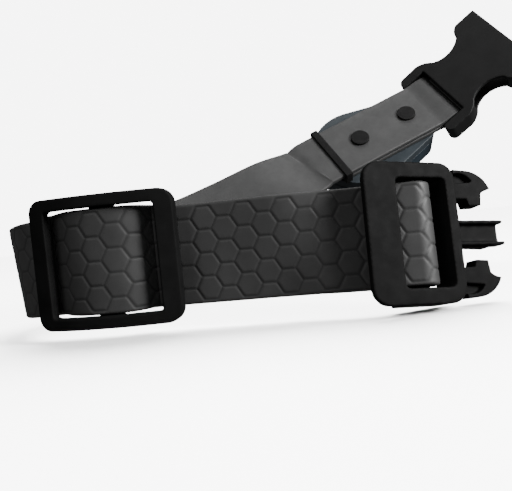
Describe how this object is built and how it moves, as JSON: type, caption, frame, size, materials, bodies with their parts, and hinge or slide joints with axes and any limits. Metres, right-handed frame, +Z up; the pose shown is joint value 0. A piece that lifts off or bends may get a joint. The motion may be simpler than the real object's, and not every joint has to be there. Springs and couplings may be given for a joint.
{
  "type": "avalanche transceiver collar",
  "caption": "Small avalanche transceiver on an adjustable honeycomb rubber collar strap with a slider and an open side-release buckle.",
  "frame": {"origin": "middle of the bottom of the object's box, on the surface that it stands on", "axes": "+Z up; +X along the front run of the strap, from the turn towards the plug half of the buckle; +Y from the front run to the back run that carries the transceiver"},
  "size_m": [0.1788, 0.1452, 0.1056],
  "materials": {
    "strap_rubber": "matte moulded rubber with a hexagon relief",
    "black_plastic": "satin",
    "dark_plastic": "satin",
    "grey_plastic": "matte",
    "blue_plastic": "satin",
    "seal_rubber": "matte",
    "button_rubber": "matte",
    "steel": "brushed",
    "brass": "satin",
    "copper": "wound enamelled wire",
    "ferrite": "matte",
    "board": "glossy",
    "lens": "clear"
  },
  "bodies": {
    "root": {"strap_front": "strap_rubber", "strap_return": "strap_rubber", "strap_turn": "strap_rubber", "strap_back": "strap_rubber", "strap_pad": "strap_rubber", "strap_wrap": "strap_rubber", "strap_keeper": "black_plastic", "strap_fixings": "dark_plastic", "case_base": "grey_plastic", "case_seal": "seal_rubber", "case_cover": "blue_plastic", "case_screws": "steel", "circuit_board": "board", "buzzer": "steel", "radio_chips": "board", "battery_cell": "steel", "battery_spring": "brass", "aerial_coil_z": "copper", "aerial_rod_y": "ferrite", "aerial_coil_y": "copper", "aerial_rod_x": "ferrite", "aerial_coil_x": "copper", "lamp_window": "lens", "signal_lamp": "lens", "button_switch": "dark_plastic"},
    "slider": {"slider_frame": "black_plastic", "strap_arch": "strap_rubber"},
    "plug": {"plug_frame": "black_plastic"},
    "upper_prong": {"prong_upper": "black_plastic"},
    "lower_prong": {"prong_lower": "black_plastic"},
    "socket": {"socket_body": "dark_plastic"},
    "door": {"battery_door": "grey_plastic", "door_seal": "seal_rubber"},
    "button": {"power_button": "button_rubber"}
  },
  "joints": [
    {"name": "slider_slide", "type": "slide", "parent": "root", "child": "slider", "axis": [1, 0, 0], "range_m": [-0.008, 0.01]},
    {"name": "plug_pivot", "type": "hinge", "parent": "root", "child": "plug", "pos_m": [0.02371, -0.05996, 0.01803], "axis": [0, 0.2079, 0.9781], "range_deg": [0, 20]},
    {"name": "upper_prong_flex", "type": "hinge", "parent": "plug", "child": "upper_prong", "pos_m": [0.03241, -0.05392, 0.02697], "axis": [-0.4226, 0.8865, -0.1884], "range_deg": [0, 8], "stiffness_Nm_per_rad": 0.6},
    {"name": "lower_prong_flex", "type": "hinge", "parent": "plug", "child": "lower_prong", "pos_m": [0.03241, -0.05808, 0.00741], "axis": [0.4226, -0.8865, 0.1884], "range_deg": [0, 8], "stiffness_Nm_per_rad": 0.6},
    {"name": "socket_pivot", "type": "hinge", "parent": "root", "child": "socket", "pos_m": [0.05031, 0.05875, 0.06925], "axis": [-0.4862, 0.4671, 0.7385], "range_deg": [-15, 40]},
    {"name": "battery_door_turn", "type": "hinge", "parent": "root", "child": "door", "pos_m": [0.01505, 0.05926, 0.04571], "axis": [0.0522, -0.8281, 0.5581], "range_deg": [0, 90]},
    {"name": "power_button_press", "type": "slide", "parent": "root", "child": "button", "axis": [0.6964, -0.3704, -0.6147], "range_m": [-0.0008, 0], "stiffness_N_per_m": 400}
  ]
}
